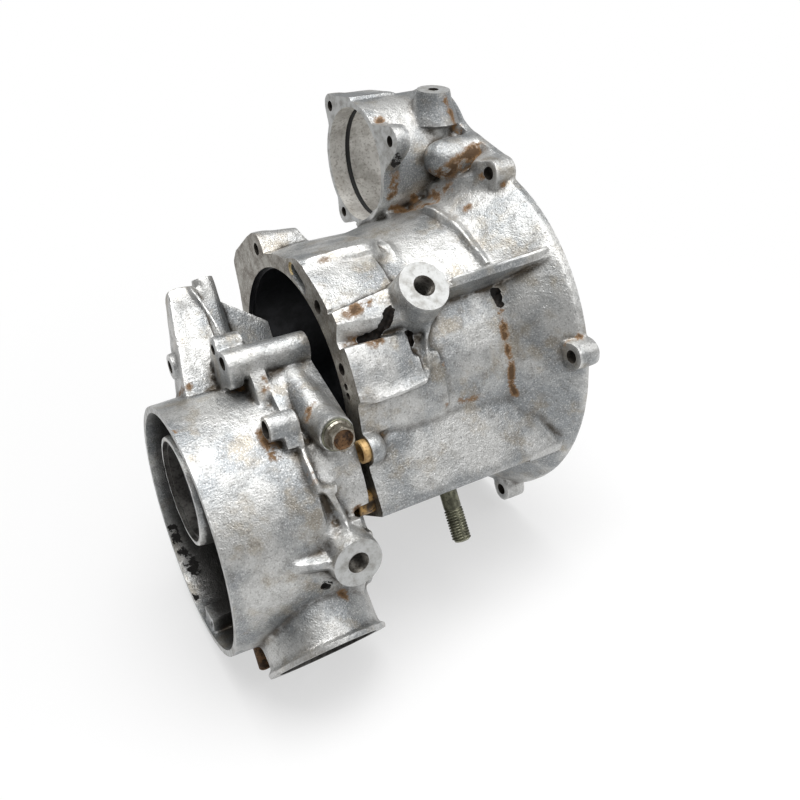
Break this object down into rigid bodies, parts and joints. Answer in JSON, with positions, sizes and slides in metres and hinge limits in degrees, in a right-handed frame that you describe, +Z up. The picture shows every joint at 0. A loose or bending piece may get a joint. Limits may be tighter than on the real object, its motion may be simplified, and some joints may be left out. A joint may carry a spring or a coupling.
{
  "type": "engine crankcase",
  "caption": "Two-piece die-cast crankcase with a bell flange, a starter bore, a round drum, threaded bosses and a side port.",
  "frame": {"origin": "centre of the bounding box on the floor that the castings lie on", "axes": "+Z up; +X about along the crank axis towards the bell; +Y towards the far side"},
  "size_m": [0.279, 0.2796, 0.2931],
  "materials": {
    "cast_aluminium": "die-cast, worn and mottled, with machined faces",
    "zinc_steel": "zinc-plated, dulled",
    "dark_steel": "rusty black steel",
    "brass": "dull yellow plating with a brown film",
    "black_rubber": "matt",
    "bearing_steel": "ground and oiled"
  },
  "bodies": {
    "root": {"main_case": "cast_aluminium", "end_housing": "cast_aluminium", "base_stud": "zinc_steel", "sealing_washer": "zinc_steel", "flange_bolt": "dark_steel", "drain_plug": "dark_steel", "bearing_snap_ring": "dark_steel", "upper_dowel": "brass", "lower_dowel": "brass", "shaft_seal": "black_rubber", "rear_seal": "black_rubber", "starter_bore_seal": "black_rubber", "bearing_outer_ring": "bearing_steel", "bearing_inner_ring": "bearing_steel", "bearing_cage": "bearing_steel", "bearing_ball_1": "bearing_steel", "bearing_ball_2": "bearing_steel", "bearing_ball_3": "bearing_steel", "bearing_ball_4": "bearing_steel", "bearing_ball_5": "bearing_steel", "bearing_ball_6": "bearing_steel", "bearing_ball_7": "bearing_steel", "bearing_ball_8": "bearing_steel", "bearing_ball_9": "bearing_steel"}
  },
  "joints": []
}
